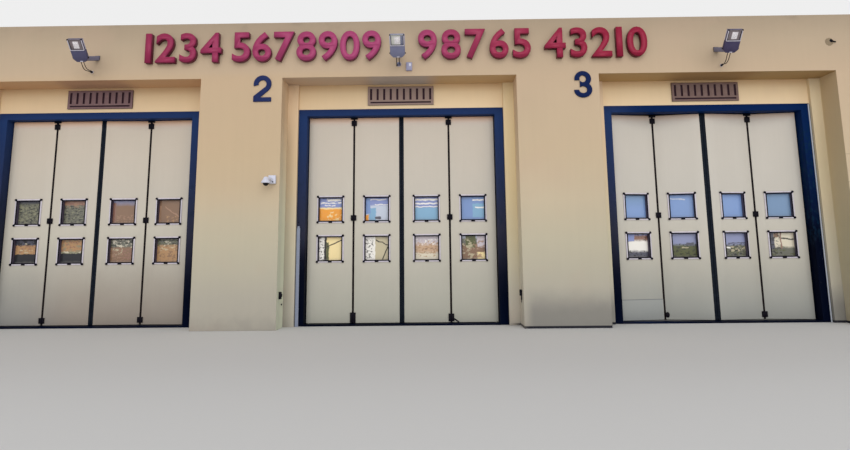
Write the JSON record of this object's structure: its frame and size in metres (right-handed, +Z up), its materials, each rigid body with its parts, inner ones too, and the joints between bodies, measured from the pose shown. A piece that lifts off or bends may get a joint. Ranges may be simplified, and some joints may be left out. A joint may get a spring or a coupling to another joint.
{
  "type": "fire station building",
  "caption": "Flat-roofed fire station hall with engine bays side by side, each closed by folding steel doors with small square windows under a deep parapet.",
  "frame": {"origin": "on the ground, in the middle of the hall's footprint of 21.02 m by 12 m", "axes": "+X along the front from left to right as seen from the street, +Y from the front to the rear, +Z up"},
  "size_m": [21.02, 12.8489, 6.2],
  "materials": {
    "wall_plaster": "painted cement plaster, matt, weathered",
    "panel_plaster": "painted cement plaster, matt",
    "floor_concrete": "trowelled concrete",
    "roof_covering": "mineral roofing on a concrete slab",
    "navy_paint": "gloss navy paint, worn at the edges",
    "leaf_paint": "satin cream paint, dusty towards the foot",
    "seal_rubber": "matt black",
    "window_glass": "clear sheet, reflecting",
    "vent_paint": "satin brown-grey paint",
    "number_paint": "satin navy paint",
    "lamp_housing": "powder-coated aluminium, slate grey",
    "camera_shell": "off-white shell over a dark dome",
    "lead_rubber": "matt black flex"
  },
  "bodies": {
    "root": {"floor_slab": "floor_concrete", "left_wall": "wall_plaster", "right_wall": "wall_plaster", "rear_wall": "wall_plaster", "roof_slab": "roof_covering", "roof_parapet": "wall_plaster", "pier_left": "wall_plaster", "pier_1_2": "wall_plaster", "pier_2_3": "wall_plaster", "pier_right": "wall_plaster", "over_door_wall_1": "panel_plaster", "door_frame_1": "navy_paint", "door_leaf_1a": "leaf_paint", "door_leaf_1b": "leaf_paint", "door_leaf_1c": "leaf_paint", "door_leaf_1d": "leaf_paint", "centre_seal_1": "seal_rubber", "door_glass_1": "window_glass", "wall_vent_1": "vent_paint", "bay_number_1": "number_paint", "over_door_wall_2": "panel_plaster", "door_frame_2": "navy_paint", "door_leaf_2a": "leaf_paint", "door_leaf_2b": "leaf_paint", "door_leaf_2c": "leaf_paint", "door_leaf_2d": "leaf_paint", "centre_seal_2": "seal_rubber", "door_glass_2": "window_glass", "wall_vent_2": "vent_paint", "bay_number_2": "number_paint", "over_door_wall_3": "panel_plaster", "door_frame_3": "navy_paint", "door_leaf_3a": "leaf_paint", "door_leaf_3b": "leaf_paint", "door_leaf_3c": "leaf_paint", "door_leaf_3d": "leaf_paint", "centre_seal_3": "seal_rubber", "door_glass_3": "window_glass", "wall_vent_3": "vent_paint", "bay_number_3": "number_paint", "flood_lamp_left": "lamp_housing", "flood_lamp_middle": "lamp_housing", "flood_lamp_right": "lamp_housing", "dome_camera": "camera_shell", "lamp_lead_left_a": "lead_rubber", "lamp_lead_left_b": "lead_rubber", "lamp_lead_middle_a": "lead_rubber", "lamp_lead_middle_b": "lead_rubber", "lamp_lead_right_a": "lead_rubber", "lamp_lead_right_b": "lead_rubber"}
  },
  "joints": []
}
